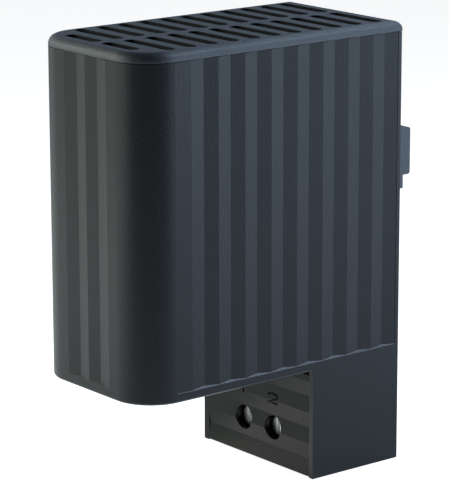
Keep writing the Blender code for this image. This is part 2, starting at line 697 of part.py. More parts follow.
def make_terminal_cover(parts, cutters, material):
    """Ribbed plate in front of the terminals, with two screwdriver holes and the terminals' numbers."""
    low = BASE_Z + GAP
    high = BODY_Z - COVER_TOP_GAP
    ridges = ridge_line(BASE_Z + COVER_FIRST_RIDGE, COVER_GROOVES, TERMINAL_Y + PANEL_RECESS, 1)
    last_ridge = ridges[-1][0]
    profile = [(TERMINAL_Y + PANEL_RECESS, low)]
    profile += [(y, z) for z, y in ridges]
    rise = high - last_ridge
    profile.append((TERMINAL_Y + PANEL_RECESS + GROOVE_DEPTH * rise / (GROOVE_PITCH / 2), high))
    profile += [(COVER_BACK_Y, high), (COVER_BACK_Y, low)]
    half = HALF_WIDTH - TERMINAL_STRIP - GAP
    cover = prism("terminal_cover", [profile], -half, half, "X", parts)
    holes = []
    for sign in (-1, 1):
        holes.append(rod(f"driver_hole_{sign}", (sign * POLE_X, TERMINAL_Y - PAST, POLE_Z),
                         COVER_THICKNESS + 2 * PAST, DRIVER_HOLE, "Y", cutters, 32))
    cut(cover, gather("cut_driver_holes", holes, cutters))
    cut(cover, gather("cut_digits", terminal_digits(cutters), cutters))
    return finish(cover, material)


def make_terminal_base(parts, cutters, material):
    """Plate that closes the chamber from below, with a funnel entry for each conductor."""
    half = HALF_WIDTH - TERMINAL_WALL + BASE_REBATE - GAP
    rear = REAR_Y - TERMINAL_WALL + BASE_REBATE - GAP
    base = box("terminal_base", (-half, COVER_BACK_Y + GAP, BASE_Z),
               (half, rear, BASE_Z + BASE_THICKNESS), parts)
    entries = []
    for sign in (-1, 1):
        entries.append(rod(f"entry_{sign}", (sign * POLE_X, WIRE_Y, BASE_Z - PAST),
                           BASE_THICKNESS + 2 * PAST, CABLE_ENTRY, "Z", cutters, 32))
    cut(base, gather("cut_cable_entries", entries, cutters))
    return finish(base, material)


def make_terminal_block(parts, cutters, material):
    block = box("terminal_block", (-BLOCK_WIDTH / 2, BLOCK_FRONT_Y, BLOCK_LOW_Z),
                (BLOCK_WIDTH / 2, BLOCK_REAR_Y, BLOCK_LOW_Z + BLOCK_HEIGHT), parts)
    pockets = []
    bores = []
    funnels = []
    for x in (-POLE_X, POLE_X):
        half = CLAMP_WIDTH / 2 + GAP
        pocket_rear = CLAMP_FRONT_Y + CLAMP_DEPTH + GAP
        pockets.append(box("pocket", (x - half, BLOCK_FRONT_Y - PAST, CLAMP_LOW_Z - GAP),
                           (x + half, pocket_rear, CLAMP_LOW_Z + CLAMP_HEIGHT + GAP), cutters))
        bores.append(rod("wire_way", (x, WIRE_Y, POLE_Z), BLOCK_HEIGHT + PAST, WIRE_BORE + 2 * GAP,
                         "Z", cutters))
        funnels.append(rod("funnel", (x, WIRE_Y, BLOCK_LOW_Z - PAST), CLAMP_LOW_Z - BLOCK_LOW_Z + PAST,
                           CABLE_ENTRY, "Z", cutters, 32))
    cut(block, gather("cut_clamp_pockets", pockets, cutters))
    cut(block, gather("cut_wire_ways", bores, cutters))
    cut(block, gather("cut_entry_funnels", funnels, cutters))
    return finish(block, material)


def make_clamp(number, x, parts, cutters, material):
    """Cage clamp: a metal block with a bore for the conductor and one for its screw."""
    clamp = box(f"terminal_clamp_{number}", (x - CLAMP_WIDTH / 2, CLAMP_FRONT_Y, CLAMP_LOW_Z),
                (x + CLAMP_WIDTH / 2, CLAMP_FRONT_Y + CLAMP_DEPTH, CLAMP_LOW_Z + CLAMP_HEIGHT), parts)
    cut(clamp, rod(f"cut_conductor_bore_{number}", (x, WIRE_Y, CLAMP_LOW_Z - PAST),
                   CLAMP_HEIGHT + 2 * PAST, WIRE_BORE, "Z", cutters))
    cut(clamp, rod(f"cut_screw_bore_{number}", (x, CLAMP_FRONT_Y - PAST, POLE_Z),
                   WIRE_Y - CLAMP_FRONT_Y + PAST / 2, SCREW_SHANK + 2 * GAP, "Y", cutters))
    return finish(clamp, material)


def screw_profile(head, head_height, shank, length):
    """Half section of a screw whose head top is at zero and whose tip is at -length."""
    outer = head / 2
    inner = shank / 2
    return [(0, 0), (outer - SCREW_EDGE, 0), (outer, -SCREW_EDGE), (outer, -head_height),
            (inner, -head_height), (inner, -length + SCREW_EDGE), (inner - SCREW_EDGE, -length), (0, -length)]


def turned(name, profile, location, collection, steps=HOLE_SIDES):
    """Solid of revolution whose own axis is turned from +Z to the direction of the screw head."""
    bm = bmesh.new()
    verts = [bm.verts.new((radius, 0, height)) for radius, height in profile]
    for a, b in zip(verts, verts[1:]):
        bm.edges.new((a, b))
    mesh = bpy.data.meshes.new(name)
    bm.to_mesh(mesh)
    bm.free()
    obj = link_mesh(name, mesh, collection)
    obj.location = location
    spin = obj.modifiers.new("turn", "SCREW")
    spin.steps = steps
    spin.render_steps = steps
    spin.use_merge_vertices = True
    spin.merge_threshold = 0.01 * MM
    spin.use_smooth_shade = False
    return obj


def make_screw(name, head_top, facing, sizes, slot, parts, cutters, material):
    """Slotted screw along Y; facing is -1 where the head points to the front, 1 to the rear."""
    head, head_height, shank, length = sizes
    screw = turned(name, screw_profile(head, head_height, shank, length), head_top, parts)
    screw.rotation_euler = (-facing * math.pi / 2, 0, 0)
    x, y, z = head_top
    ends = sorted((y + facing * PAST, y - facing * head_height / 2))
    cut(screw, box("cut_slot_" + name, (x - slot / 2, ends[0], z - head),
                   (x + slot / 2, ends[1], z + head), cutters))
    return finish(screw, material)


def make_terminal_screws(parts, cutters, material):
    length = WIRE_Y - BLOCK_FRONT_Y - FERRULE_DIAMETER / 2 - GAP
    sizes = (SCREW_HEAD, SCREW_HEAD_HEIGHT, SCREW_SHANK, length)
    for number, sign in ((1, -1), (2, 1)):
        make_screw(f"terminal_screw_{number}", (sign * POLE_X, BLOCK_FRONT_Y, POLE_Z), -1, sizes,
                   SCREW_SLOT, parts, cutters, material)


def make_clip_screws(parts, cutters, material):
    seat_y = REAR_Y + GAP + CLIP_SCREW_SEAT
    head_top_y = seat_y + GAP + CLIP_SCREW_HEAD_HEIGHT
    length = head_top_y - (REAR_Y - CLIP_SCREW_LENGTH + GAP)
    sizes = (CLIP_SCREW_HEAD, CLIP_SCREW_HEAD_HEIGHT, CLIP_SCREW_SHANK, length)
    for number, height in enumerate(CLIP_SCREW_ABOVE_BASE, 1):
        make_screw(f"clip_screw_{number}", (0, head_top_y, BASE_Z + height), 1, sizes,
                   SCREW_SLOT, parts, cutters, material)


def make_leads(tab_low, parts, wire_material, ferrule_material):
    """Wire from each contact plate's tab to a sleeve in the top of its clamp."""
    start_z = tab_low - GAP
    ferrule_top = CLAMP_LOW_Z + FERRULE_LENGTH + FERRULE_PROUD
    end_z = ferrule_top + GAP
    for number, sign in ((1, -1), (2, 1)):
        path = []
        for i in range(LEAD_STEPS + 1):
            t = i / LEAD_STEPS
            ease = t * t * (3 - 2 * t)
            x = PLATE_X + (POLE_X - PLATE_X) * ease
            path.append((sign * x, WIRE_Y, start_z + (end_z - start_z) * t))
        finish(wire(f"lead_wire_{number}", path, WIRE_DIAMETER, parts), wire_material, 40)
        ferrule = rod(f"ferrule_{number}", (sign * POLE_X, WIRE_Y, ferrule_top - FERRULE_LENGTH),
                      FERRULE_LENGTH, FERRULE_DIAMETER, "Z", parts, 16)
        finish(ferrule, ferrule_material, 40)


def strip(path, width):
    """Outline of a strip of even width along an open path of points."""
    left = []
    right = []
    for i, (u, v) in enumerate(path):
        before = Vector(path[max(i - 1, 0)])
        after = Vector(path[min(i + 1, len(path) - 1)])
        along = (after - before).normalized()
        side = Vector((-along.y, along.x)) * width / 2
        left.append((u + side.x, v + side.y))
        right.append((u - side.x, v - side.y))
    return left + list(reversed(right))


def make_din_clip(parts, cutters, material):
    """One moulding: a hook over the rail's top edge and a sprung latch under its lower edge."""
    back = REAR_Y + GAP
    seat = 0.0
    proud = REAR_Y + CLIP_PROUD
    rail_top = RAIL_HEIGHT / 2 + GAP
    rail_low = -RAIL_HEIGHT / 2 - GAP
    foot = BASE_Z + CLIP_FOOT_ABOVE_BASE
    window_top = BASE_Z + WINDOW_TOP_ABOVE_BASE
    half = CLIP_WIDTH / 2
    window = WINDOW_WIDTH / 2

    frame = [(-half, foot), (-window, foot), (-window, window_top), (window, window_top),
             (window, foot), (half, foot), (half, rail_top), (-half, rail_top)]
    clip = prism("din_clip", [frame], back, seat, "Y", parts)

    lip = seat + RAIL_THICKNESS + GAP / 2
    hook_top = rail_top + HOOK_HEIGHT
    seat_low = RAIL_HEIGHT / 2 - UPPER_SEAT
    bend = proud - HOOK_ROUND
    hook = [(back, seat_low), (seat, seat_low), (seat, rail_top)]
    hook += arc((bend, rail_top + HOOK_ROUND), HOOK_ROUND, -90, 0, 4)
    hook += arc((bend, hook_top - HOOK_ROUND), HOOK_ROUND, 0, 90, 4)
    hook.append((back, hook_top))
    join(clip, prism("add_hook", [hook], -HOOK_WIDTH / 2, HOOK_WIDTH / 2, "X", cutters))
    inside = (lip + proud) / 2
    lip_low = rail_top - GAP - HOOK_OVERLAP
    tongue = [(lip, lip_low + GAP), (inside, lip_low), (proud - EDGE_STEP, lip_low),
              (proud - EDGE_STEP, rail_top + 2 * HOOK_ROUND), (lip, rail_top + 2 * HOOK_ROUND)]
    join(clip, prism("add_lip", [tongue], -LIP_WIDTH / 2, LIP_WIDTH / 2, "X", cutters))

    latch_low = rail_low - LATCH_HEIGHT
    latch = [(back + GAP, latch_low), (seat, latch_low), (proud, rail_low - LATCH_NOSE),
             (proud, rail_low + HOOK_OVERLAP), (lip, rail_low + GAP + HOOK_OVERLAP), (lip, rail_low),
             (back + GAP, rail_low)]
    join(clip, prism("add_latch", [latch], -LATCH_WIDTH / 2, LATCH_WIDTH / 2, "X", cutters))
    tab_low = foot - LATCH_TAB
    tab = rectangle(-LATCH_WIDTH / 2, LATCH_WIDTH / 2, tab_low, latch_low + PAST)
    join(clip, prism("add_tab", [tab], back + GAP, seat - GAP, "Y", cutters))

    springs = []
    spring_low = rail_low - PAST
    spring_length = window_top + PAST - spring_low
    for sign in (-1, 1):
        path = []
        for i in range(SPRING_STEPS + 1):
            bulge = SPRING_BULGE * (1 - math.cos(2 * math.pi * i / SPRING_STEPS)) / 2
            path.append((sign * (LATCH_WIDTH / 2 - SPRING_WIDTH + bulge),
                         spring_low + spring_length * i / SPRING_STEPS))
        springs.append(prism(f"spring_{sign}", [strip(path, SPRING_WIDTH)], back + 2 * GAP, seat - GAP,
                             "Y", cutters))
    join(clip, gather("add_springs", springs, cutters))

    slot_low = tab_low + TAB_SLOT_HEIGHT
    slot = rectangle(-TAB_SLOT_WIDTH / 2, TAB_SLOT_WIDTH / 2, slot_low, slot_low + TAB_SLOT_HEIGHT)
    cut(clip, prism("cut_tab_slot", [slot], back - PAST, proud, "Y", cutters))
    bores = []
    sinks = []
    for i, height in enumerate(CLIP_SCREW_ABOVE_BASE):
        z = BASE_Z + height
        bores.append(rod(f"clip_bore_{i}", (0, back - PAST, z), CLIP_SCREW_SEAT + 2 * PAST,
                         CLIP_SCREW_SHANK + 2 * GAP, "Y", cutters))
        sinks.append(rod(f"clip_sink_{i}", (0, back + CLIP_SCREW_SEAT, z), CLIP_PROUD,
                         CLIP_SCREW_HEAD + 2 * GAP, "Y", cutters))
    cut(clip, gather("cut_clip_bores", bores, cutters))
    cut(clip, gather("cut_clip_sinks", sinks, cutters))
    return finish(clip, material)


def build():
    start_clean()
    parts = make_collection("enclosure_heater")
    cutters = make_collection("cutters")

    black = make_material("moulded_black", (0.034, 0.040, 0.046), 0.5)
    cover_black = make_material("cover_black", (0.036, 0.040, 0.040), 0.52)
    clip_black = make_material("clip_black", (0.040, 0.044, 0.052), 0.5)
    carrier_grey = make_material("heat_proof_grey", (0.06, 0.06, 0.06), 0.6)
    block_grey = make_material("terminal_grey", (0.09, 0.09, 0.09), 0.5)
    aluminium = make_material("extruded_aluminium", (0.62, 0.63, 0.64), 0.35, 1.0)
    ceramic = make_material("ptc_ceramic", (0.16, 0.15, 0.15), 0.7)
    brass = make_material("brass", (0.72, 0.55, 0.28), 0.35, 1.0)
    film = make_material("polyimide_film", (0.55, 0.27, 0.05), 0.35)
    steel = make_material("zinc_plated_steel", (0.72, 0.72, 0.70), 0.3, 1.0)
    tinned = make_material("tinned_copper", (0.74, 0.73, 0.70), 0.35, 1.0)
    silicone = make_material("wire_silicone", (0.42, 0.40, 0.38), 0.6)

    make_housing(parts, cutters, black)
    make_top_grille(parts, cutters, black)
    make_bottom_grille(parts, cutters, black)
    make_heat_sink(parts, aluminium)
    make_lower_carrier(parts, cutters, carrier_grey)
    make_upper_carrier(parts, cutters, carrier_grey)
    tab_low = make_element(parts, ceramic, brass, film)
    make_terminal_cover(parts, cutters, cover_black)
    make_terminal_base(parts, cutters, cover_black)
    make_terminal_block(parts, cutters, block_grey)
    for number, sign in ((1, -1), (2, 1)):
        make_clamp(number, sign * POLE_X, parts, cutters, brass)
    make_terminal_screws(parts, cutters, steel)
    make_leads(tab_low, parts, silicone, tinned)
    make_din_clip(parts, cutters, clip_black)
    make_clip_screws(parts, cutters, steel)


build()
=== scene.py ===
import math

import bmesh
import bpy
from mathutils import Matrix, Vector


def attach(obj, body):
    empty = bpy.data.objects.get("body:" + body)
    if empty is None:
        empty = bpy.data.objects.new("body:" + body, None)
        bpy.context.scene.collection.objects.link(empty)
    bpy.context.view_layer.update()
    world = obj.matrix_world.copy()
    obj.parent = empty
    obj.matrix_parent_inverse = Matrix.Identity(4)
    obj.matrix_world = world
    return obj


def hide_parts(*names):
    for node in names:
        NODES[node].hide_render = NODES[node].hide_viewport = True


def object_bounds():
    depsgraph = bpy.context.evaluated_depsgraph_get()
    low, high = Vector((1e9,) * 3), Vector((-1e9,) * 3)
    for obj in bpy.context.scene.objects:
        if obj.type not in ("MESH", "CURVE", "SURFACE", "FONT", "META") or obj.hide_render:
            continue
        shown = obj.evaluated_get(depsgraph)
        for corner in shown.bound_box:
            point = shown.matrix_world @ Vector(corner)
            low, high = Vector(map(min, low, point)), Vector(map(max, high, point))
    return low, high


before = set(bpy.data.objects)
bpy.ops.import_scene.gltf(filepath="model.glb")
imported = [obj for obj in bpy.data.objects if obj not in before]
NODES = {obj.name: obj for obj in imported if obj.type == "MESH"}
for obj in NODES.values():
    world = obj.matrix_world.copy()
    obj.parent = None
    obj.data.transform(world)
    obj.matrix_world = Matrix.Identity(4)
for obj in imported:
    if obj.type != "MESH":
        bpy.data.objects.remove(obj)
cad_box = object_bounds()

MM = 0.001

# The photograph's view, worked out from the heater's edges, grooves and slots
AIM = Vector((1.98, -38.0, 6.16)) * MM
DISTANCE = 583.06 * MM
AZIMUTH = math.radians(51.408)
ELEVATION = math.radians(13.727)
ROLL = math.radians(-0.147)
LENS = 202.97
SENSOR = 36.0

# The studio is set round this point
MIDDLE = Vector((0.0, -38.0, 0.0)) * MM
FLOOR_REACH = 6.0
FLOOR_CLEARANCE = 0.05 * MM
# How white the table is: to the camera, in gloss and metal, and in gloss where it lies under the body,
# brighter there as a painted reflection for the heater's lower edges, screws and cover
CAMERA_GLOW = 0.9
MIRROR_GLOW = 0.22
UNDER_BODY_PAINTED_REFLECTION = 0.85
WINDOW = "#cee6ff"
LAMP = "#f4fff8"
WHITE = "#ffffff"

# Moulded edges are rounded by this much, in the shader
EDGE_RADIUS = 0.12 * MM


def set_up_camera():
    back = Vector((math.sin(AZIMUTH) * math.cos(ELEVATION),
                   -math.cos(AZIMUTH) * math.cos(ELEVATION), math.sin(ELEVATION)))
    right = Vector((math.cos(AZIMUTH), math.sin(AZIMUTH), 0.0))
    up = back.cross(right)
    side = right * math.cos(ROLL) + up * math.sin(ROLL)
    top = up * math.cos(ROLL) - right * math.sin(ROLL)
    data = bpy.data.cameras.new("photo_camera")
    data.lens = LENS
    data.sensor_width = SENSOR
    data.clip_start = 0.01
    camera = bpy.data.objects.new("photo_camera", data)
    bpy.context.scene.collection.objects.link(camera)
    turn = Matrix((side, top, back)).transposed()
    camera.matrix_world = Matrix.LocRotScale(AIM + back * DISTANCE, turn, None)
    bpy.context.scene.camera = camera


# Materials

def linear(code):
    """sRGB hex colour to the linear values that a shader takes."""
    values = []
    for i in (1, 3, 5):
        part = int(code[i:i + 2], 16) / 255
        values.append(part / 12.92 if part <= 0.04045 else ((part + 0.055) / 1.055) ** 2.4)
    return (*values, 1.0)


def add(tree, kind, inputs=None, **settings):
    """Add a node with its settings, and link or set its inputs."""
    node = tree.nodes.new(kind)
    for key, value in settings.items():
        setattr(node, key, value)
    for key, value in (inputs or {}).items():
        if isinstance(value, bpy.types.NodeSocket):
            tree.links.new(value, node.inputs[key])
        else:
            node.inputs[key].default_value = value
    return node


def start_material(name, roughness, metallic=0.0, ior=None):
    """A material with its plain values, and the place on the piece that its patterns follow."""
    material = bpy.data.materials.new(name)
    material.use_nodes = True
    tree = material.node_tree
    shader = tree.nodes["Principled BSDF"]
    shader.inputs["Roughness"].default_value = roughness
    shader.inputs["Metallic"].default_value = metallic
    if ior:
        shader.inputs["IOR"].default_value = ior
    place = add(tree, "ShaderNodeTexCoord").outputs["Object"]
    return material, tree, shader, place


def spread(tree, value, low, high):
    """Turn a 0 to 1 pattern into a range."""
    wide = add(tree, "ShaderNodeMapRange", {"Value": value, "To Min": low, "To Max": high})
    return wide.outputs["Result"]


def colour_between(tree, shader, factor, dark, light):
    """Let the base colour wander between two shades."""
    colour = add(tree, "ShaderNodeMix",
                 {"Factor": factor, "A": linear(dark), "B": linear(light)}, data_type="RGBA")
    tree.links.new(colour.outputs[2], shader.inputs["Base Color"])


def roughness_around(tree, shader, pattern, roughness, swing):
    """Let the roughness go up and down with a pattern."""
    value = spread(tree, pattern, roughness - swing, roughness + swing)
    tree.links.new(value, shader.inputs["Roughness"])


def relief(tree, shader, pattern, strength, depth, normal=None):
    """Raise a pattern by its depth in mm, on top of another normal where one is given."""
    under = {"Normal": normal} if normal else {}
    bump = add(tree, "ShaderNodeBump",
               {"Height": pattern, "Strength": strength, "Distance": depth * MM, **under})
    tree.links.new(bump.outputs["Normal"], shader.inputs["Normal"])


def spark_eroded(name, dark, light, roughness, grain=0.38, depth=0.09, gloss=0.4):
    """Black plastic from a spark-eroded mould: an even matt grain that scatters highlights,
    with slight flow clouds in its shade. The real grain is about 0.05 mm, drawn coarser to show."""
    material, tree, shader, place = start_material(name, roughness, ior=1.53)
    # The pits of the grain hold back part of the gloss
    shader.inputs["Specular IOR Level"].default_value = gloss
    flow = add(tree, "ShaderNodeTexNoise",
               {"Vector": place, "Scale": 1 / (9 * MM), "Detail": 3.0}).outputs["Fac"]
    pits = add(tree, "ShaderNodeTexNoise",
               {"Vector": place, "Scale": 1 / (grain * MM), "Detail": 2.0}).outputs["Fac"]
    shade = add(tree, "ShaderNodeMath", {0: flow, 1: pits}, operation="MULTIPLY").outputs[0]
    colour_between(tree, shader, spread(tree, shade, 0.0, 2.0), dark, light)
    roughness_around(tree, shader, pits, roughness, 0.06)
    round_edge = add(tree, "ShaderNodeBevel", {"Radius": EDGE_RADIUS}, samples=6)
    relief(tree, shader, pits, 0.7, depth, round_edge.outputs["Normal"])
    return material


def streaked(name, dark, light, roughness, along, fine, depth, metallic=1.0, ior=None):
    """Extruded, rolled or cast stock: fine lines along the direction it was drawn in."""
    material, tree, shader, place = start_material(name, roughness, metallic, ior)
    stretch = add(tree, "ShaderNodeMapping", {"Vector": place, "Scale": along})
    lines = add(tree, "ShaderNodeTexNoise", {"Vector": stretch.outputs["Vector"],
                                             "Scale": 1 / (fine * MM), "Detail": 4.0}).outputs["Fac"]
    colour_between(tree, shader, lines, dark, light)
    roughness_around(tree, shader, lines, roughness, 0.08)
    relief(tree, shader, lines, 0.4, depth)
    return material


def grainy(name, dark, light, roughness, grain, depth, metallic=0.0, ior=None):
    """Sintered, moulded or plated surface with an even grain."""
    material, tree, shader, place = start_material(name, roughness, metallic, ior)
    grains = add(tree, "ShaderNodeTexNoise",
                 {"Vector": place, "Scale": 1 / (grain * MM), "Detail": 3.0}).outputs["Fac"]
    colour_between(tree, shader, grains, dark, light)
    roughness_around(tree, shader, grains, roughness, 0.06)
    relief(tree, shader, grains, 0.3, depth)
    return material


def make_materials():
    return {
        # Black ABS/PC, moulded in a spark-eroded tool: satin black that mirrors the windows softly
        "housing": spark_eroded("spark_eroded_black_abs", "#15181b", "#1f2226", 0.32),
        # The cover's black is warmer, with less gloss
        "cover": spark_eroded("spark_eroded_olive_black_abs", "#14160e", "#1f2117", 0.22, gloss=0.24),
        # Painted sheen: a smoother, lighter black for the housing's lower edge and its side grooves'
        # ends, standing in for the table's white that they reflect there
        "edge": spark_eroded("black_abs_edge_with_painted_sheen", "#26292d", "#31353a", 0.2,
                             grain=0.38, depth=0.02, gloss=1.0),
        # The cap's grain is a little coarser. Its black is drawn lighter than the housing's: painted
        # light, for the light that falls on its top
        "cap": spark_eroded("spark_eroded_black_abs_cap_with_painted_light", "#2c2f35", "#41454d", 0.47,
                            grain=0.4, depth=0.16, gloss=0.85),
        # Painted shade: a near-black for the walls of the cap's slots and the digits sunk in the cover,
        # where shade falls
        "painted_shade": grainy("black_abs_with_painted_shade", "#060606", "#0b0b0b", 0.7, 0.3, 0.01, ior=1.45),
        # Polyamide from a plain-ground mould: smoother than the housing, with a satin sheen
        "clip": spark_eroded("ground_mould_black_polyamide", "#31363e", "#3f4650", 0.30,
                             grain=0.35, depth=0.02, gloss=0.62),
        # Moulded glass-filled resin: dull, with pale fibres at the skin
        "carrier": grainy("moulded_glass_filled_resin", "#2a2926", "#45423c", 0.58, 0.5, 0.02, ior=1.6),
        # Moulded polyamide: an even satin grey
        "block": grainy("moulded_grey_polyamide", "#3f4040", "#4a4b4b", 0.45, 0.4, 0.01, ior=1.53),
        # Extruded aluminium: bright, with die lines along its length
        "aluminium": streaked("extruded_aluminium", "#c4c7ca", "#d9dcde", 0.36,
                              (1.0, 1.0, 0.02), 0.18, 0.006),
        # Sintered and ground ceramic: a dull dark grey with fine pores
        "ceramic": grainy("sintered_barium_titanate", "#4a4745", "#5c5855", 0.72, 0.15, 0.01, ior=1.9),
        # Cold-rolled brass: yellow and bright, with faint roll lines
        "brass": streaked("rolled_brass", "#c9a55a", "#dbbb74", 0.3, (0.05, 1.0, 1.0), 0.12, 0.003),
        # Cast polyimide film: a smooth amber, drawn opaque
        "film": streaked("cast_polyimide_film", "#a8631a", "#c27a26", 0.25, (1.0, 0.2, 1.0), 2.0, 0.002,
                         metallic=0.0, ior=1.7),
        # Zinc-plated steel: pale and bright, slightly clouded by the plating
        "steel": grainy("zinc_plated_steel", "#d9dbdc", "#eceded", 0.28, 0.3, 0.004, metallic=1.0),
        # Tin-plated copper: a soft, slightly warm silver
        "tinned": grainy("tinned_copper", "#bdbcb8", "#d6d5d0", 0.32, 0.25, 0.005, metallic=1.0),
        # Extruded silicone rubber: a dull, dusty grey
        "silicone": grainy("extruded_silicone_rubber", "#8a8784", "#989591", 0.6, 0.3, 0.01, ior=1.42),
    }


# Pieces

def copied(node, name):
    """The solid's form as an own mesh, welded, with its flat faces joined."""
    mesh = bpy.data.meshes.new(name)
    bm = bmesh.new()
    bm.from_mesh(NODES[node].data)
    bmesh.ops.remove_doubles(bm, verts=bm.verts, dist=0.002 * MM)
    bmesh.ops.dissolve_limit(bm, angle_limit=math.radians(0.2), verts=bm.verts, edges=bm.edges)
    return mesh, bm


def put_in_place(node, name, mesh, bm, crease, slot, *materials):
    """Put the mesh in the scene in place of its solid, smooth up to the crease angle."""
    for face in bm.faces:
        face.smooth = True
    bm.to_mesh(mesh)
    bm.free()
    # The solid's own normals would win over the ones made here
    if "custom_normal" in mesh.attributes:
        mesh.attributes.remove(mesh.attributes["custom_normal"])
    mesh.set_sharp_from_angle(angle=math.radians(crease))
    for material in materials:
        mesh.materials.append(material)
    piece = bpy.data.objects.new(name, mesh)
    bpy.context.scene.collection.objects.link(piece)
    even = piece.modifiers.new("even_shading", "WEIGHTED_NORMAL")
    even.keep_sharp = True
    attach(piece, "root")
    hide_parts(node)


def dress_housing(finish):
    """Sleeve and terminal box. Its grooves end in short steep run-outs, as a milled mould
    leaves them, and the edges between its flats and grooves stay crisp."""
    side_skin, front_skin = 18.3 * MM, -72.3 * MM
    side_grooves_front, front_grooves_half = -63.9 * MM, 7.5 * MM
    groove_end, run_out_height, run_out_share = -19.5 * MM, 0.7 * MM, 0.65
    wall_inside, wall_front, wall_top, leaned_to = -17.7 * MM, -27.1 * MM, -21.5 * MM, -26.85 * MM
    mesh, bm = copied("housing", "ribbed_housing")
    for vert in bm.verts:
        x, y, z = vert.co
        on_skin = abs(x) > side_skin or y < front_skin
        if on_skin and 0 < z - groove_end < run_out_height:
            vert.co.z = groove_end + (z - groove_end) * run_out_share
        # The left wall's front edge leans back, so that it hardly shades the cover beside it.
        # This also takes along one corner of the rebate under the body
        if abs(x - wall_inside) < 0.1 * MM and y < wall_front and z < wall_top:
            vert.co.y = leaned_to
    bm.normal_update()
    crisp = set()
    for edge in bm.edges:
        a, b = (vert.co for vert in edge.verts)
        upright = abs(a.z - b.z) > 5 * MM
        side = abs(a.x) > side_skin and a.y > side_grooves_front
        front = a.y < front_skin and abs(a.x) < front_grooves_half
        if upright and (side or front) and edge.calc_face_angle(0) > math.radians(2):
            crisp.add(tuple(sorted(vert.index for vert in edge.verts)))
    for face in bm.faces:
        middle, slope = face.calc_center_median(), face.normal.z
        lower_edge = -21.6 * MM < middle.z < -20.9 * MM and -0.98 < slope < -0.2
        run_out = -19.6 * MM < middle.z < -18.8 * MM and slope > 0.3 and abs(middle.x) > 18 * MM
        # The lower edge's rounding and the side grooves' run-outs take the lighter black: a painted
        # sheen
        face.material_index = 1 if lower_edge or run_out else 0
    put_in_place("housing", "ribbed_housing", mesh, bm, 11, "housing_plastic",
                 finish["housing"], finish["edge"])
    for edge in mesh.edges:
        if tuple(sorted(edge.vertices)) in crisp:
            edge.use_edge_sharp = True


def dress_cap(finish):
    """Slotted cap with a softly rounded rim that comes down close to the sleeve, and painted shade on
    its slots' walls.
    """
    rim_foot, seam_taken_up = 50.35 * MM, 0.18 * MM
    # The slots lie inside this field, whose front corners are cut off by the rim's rounding
    field_half, field_front, field_back, corner_cut = 16 * MM, -71 * MM, -4 * MM, 84 * MM
    mesh, bm = copied("top_grille", "slotted_cap")
    for vert in bm.verts:
        if abs(vert.co.z - rim_foot) < 0.02 * MM:
            vert.co.z -= seam_taken_up
    for face in bm.faces:
        middle = face.calc_center_median()
        among_slots = (abs(middle.x) < field_half and field_front < middle.y < field_back
                       and abs(middle.x) - middle.y < corner_cut)
        # The slots' walls take the painted shade
        face.material_index = 1 if among_slots and abs(face.normal.z) < 0.3 else 0
    put_in_place("top_grille", "slotted_cap", mesh, bm, 32, "housing_plastic",
                 finish["cap"], finish["painted_shade"])


def dress_cover(finish):
    """Ribbed cover, close between the box's side walls, with painted shade in its sunk digits."""
    cover_half, drawn_wider = 17.4 * MM, 0.22 * MM
    digits_low, digits_high, digits_half = -32.3 * MM, -29.2 * MM, 7.3 * MM
    digit_floor, ribs_back = -26.7 * MM, -26.6 * MM
    mesh, bm = copied("terminal_cover", "ribbed_cover")
    for vert in bm.verts:
        if abs(abs(vert.co.x) - cover_half) < 0.02 * MM:
            vert.co.x += math.copysign(drawn_wider, vert.co.x)
    for face in bm.faces:
        middle = face.calc_center_median()
        among_digits = digits_low < middle.z < digits_high and abs(middle.x) < digits_half
        in_front = all(vert.co.y < ribs_back for vert in face.verts)
        at_floor = abs(middle.y - digit_floor) < 0.01 * MM
        # The digits' floors and walls take the painted shade
        if among_digits and in_front and (at_floor or abs(face.normal.y) < 0.1):
            face.material_index = 1
    put_in_place("terminal_cover", "ribbed_cover", mesh, bm, 11, "cover_plastic",
                 finish["cover"], finish["painted_shade"])


def dress_clip(finish):
    """Rail clip with its hook, latch and springs."""
    mesh, bm = copied("din_clip", "rail_clip")
    put_in_place("din_clip", "rail_clip", mesh, bm, 30, "clip_plastic", finish["clip"])


def dress_solids(finish):
    """Every solid gets its finish. Four of them are hidden by the pieces made above."""
    nodes = {
        "housing": ("housing", "bottom_grille"),
        "cap": ("top_grille",),
        "cover": ("terminal_cover", "terminal_base"),
        "clip": ("din_clip",),
        "carrier": ("lower_carrier", "upper_carrier"),
        "block": ("terminal_block",),
        "aluminium": ("heat_sink",),
        "ceramic": ("ptc_tile_1", "ptc_tile_2"),
        "brass": ("contact_plate_1", "contact_plate_2", "terminal_clamp_1", "terminal_clamp_2"),
        "film": ("insulating_film_1", "insulating_film_2"),
        "steel": ("clip_screw_1", "clip_screw_2", "terminal_screw_1", "terminal_screw_2"),
        "tinned": ("ferrule_1", "ferrule_2"),
        "silicone": ("lead_wire_1", "lead_wire_2"),
    }
    for kind, names in nodes.items():
        for name in names:
            mesh = NODES[name].data
            for i in range(len(mesh.materials)):
                mesh.materials[i] = finish[kind]


# Studio: a white table, soft boxes round the heater and the room's own soft light

def towards(azimuth, elevation):
    """Direction from the heater: azimuth from its right side (+X) round to its back (+Y)."""
    a, e = math.radians(azimuth), math.radians(elevation)
    return Vector((math.cos(a) * math.cos(e), math.sin(a) * math.cos(e), math.sin(e)))


def softbox(name, azimuth, height, reach, watts, colour, size=0.2):
    """Square soft box that stands at a distance from the heater's middle and faces it."""
    data = bpy.data.lights.new(name, "AREA")
    data.shape = "SQUARE"
    data.size = size
    data.energy = watts
    data.color = linear(colour)[:3]
    lamp = bpy.data.objects.new(name, data)
    bpy.context.scene.collection.objects.link(lamp)
    lamp.location = MIDDLE + towards(azimuth, 0.0) * reach + Vector((0.0, 0.0, height))
    lamp.rotation_euler = (MIDDLE - lamp.location).to_track_quat("-Z", "Y").to_euler()
    lamp.visible_camera = False
    return lamp


